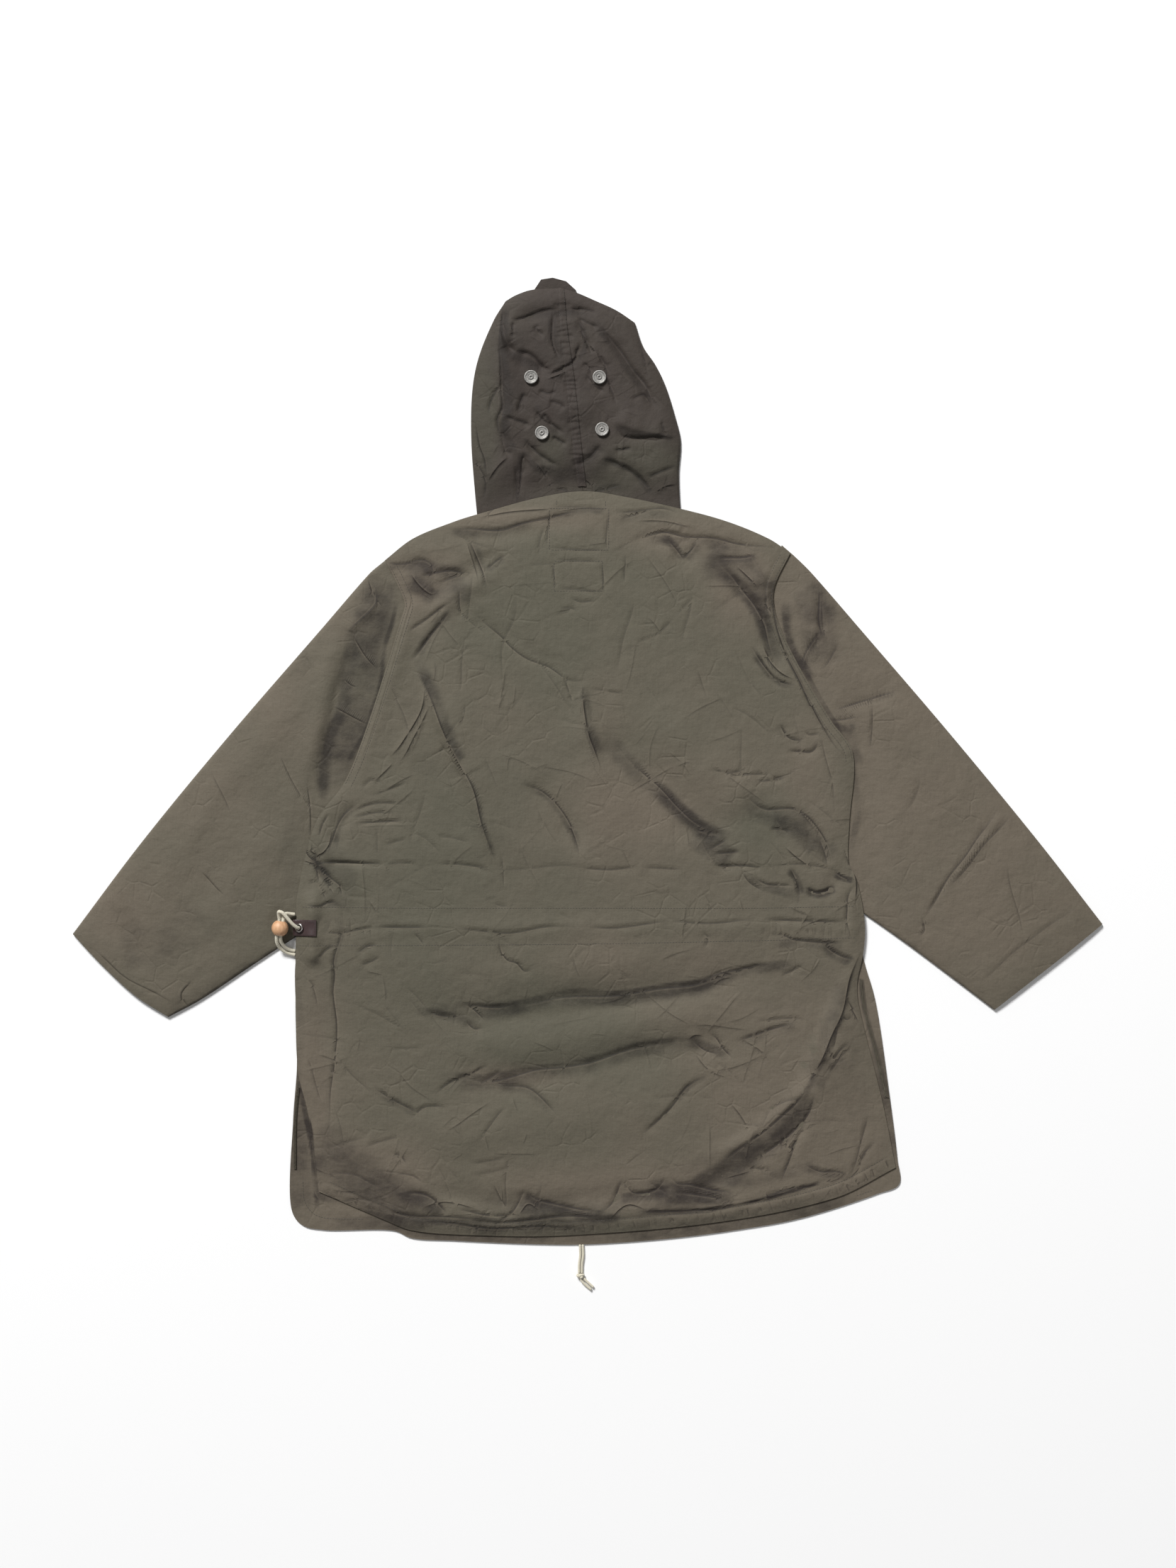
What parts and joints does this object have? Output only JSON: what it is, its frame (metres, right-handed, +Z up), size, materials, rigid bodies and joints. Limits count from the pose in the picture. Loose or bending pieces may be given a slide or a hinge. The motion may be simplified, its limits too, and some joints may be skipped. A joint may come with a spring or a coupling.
{
  "type": "anorak smock",
  "caption": "Hooded pullover anorak in shot cotton, laid flat with its back up: drawcord waist with a leather tab and wooden bead, zipped side vents and a corded hem.",
  "frame": {"origin": "on the surface that the garment lies on, under the middle of its box without the free cords", "axes": "+X across the garment from its left sleeve in the picture to its right one, +Y from the hem to the hood, +Z up from the surface"},
  "size_m": [1.15, 1.1315, 0.0243],
  "materials": {
    "shell_cotton": "fine plain-weave shot cotton, olive with a purple-brown cross thread, soft sheen",
    "button_metal": "dull aged nickel",
    "eyelet_metal": "polished nickel",
    "tab_leather": "smooth dark burgundy-brown leather",
    "bead_wood": "turned pale wood, thin clear varnish",
    "cord_cotton": "braided natural cotton",
    "zip_metal": "aged metal teeth on cloth tape"
  },
  "bodies": {
    "root": {"front_panel": "shell_cotton", "back_panel": "shell_cotton", "sleeve_left": "shell_cotton", "sleeve_right": "shell_cotton", "hood_left": "shell_cotton", "hood_right": "shell_cotton", "hood_seam": "shell_cotton", "hood_brim": "shell_cotton", "hood_button_upper_left": "button_metal", "hood_button_upper_right": "button_metal", "hood_button_lower_left": "button_metal", "hood_button_lower_right": "button_metal", "waist_tab": "tab_leather", "waist_eyelet": "eyelet_metal", "cord_bead": "bead_wood", "waist_cord_a": "cord_cotton", "waist_cord_b": "cord_cotton", "hem_cord_left": "cord_cotton", "hem_cord_right": "cord_cotton", "hem_tail_left": "cord_cotton", "hem_tail_right": "cord_cotton", "hem_knot": "cord_cotton", "zip_left": "zip_metal", "zip_right": "zip_metal"}
  },
  "joints": []
}
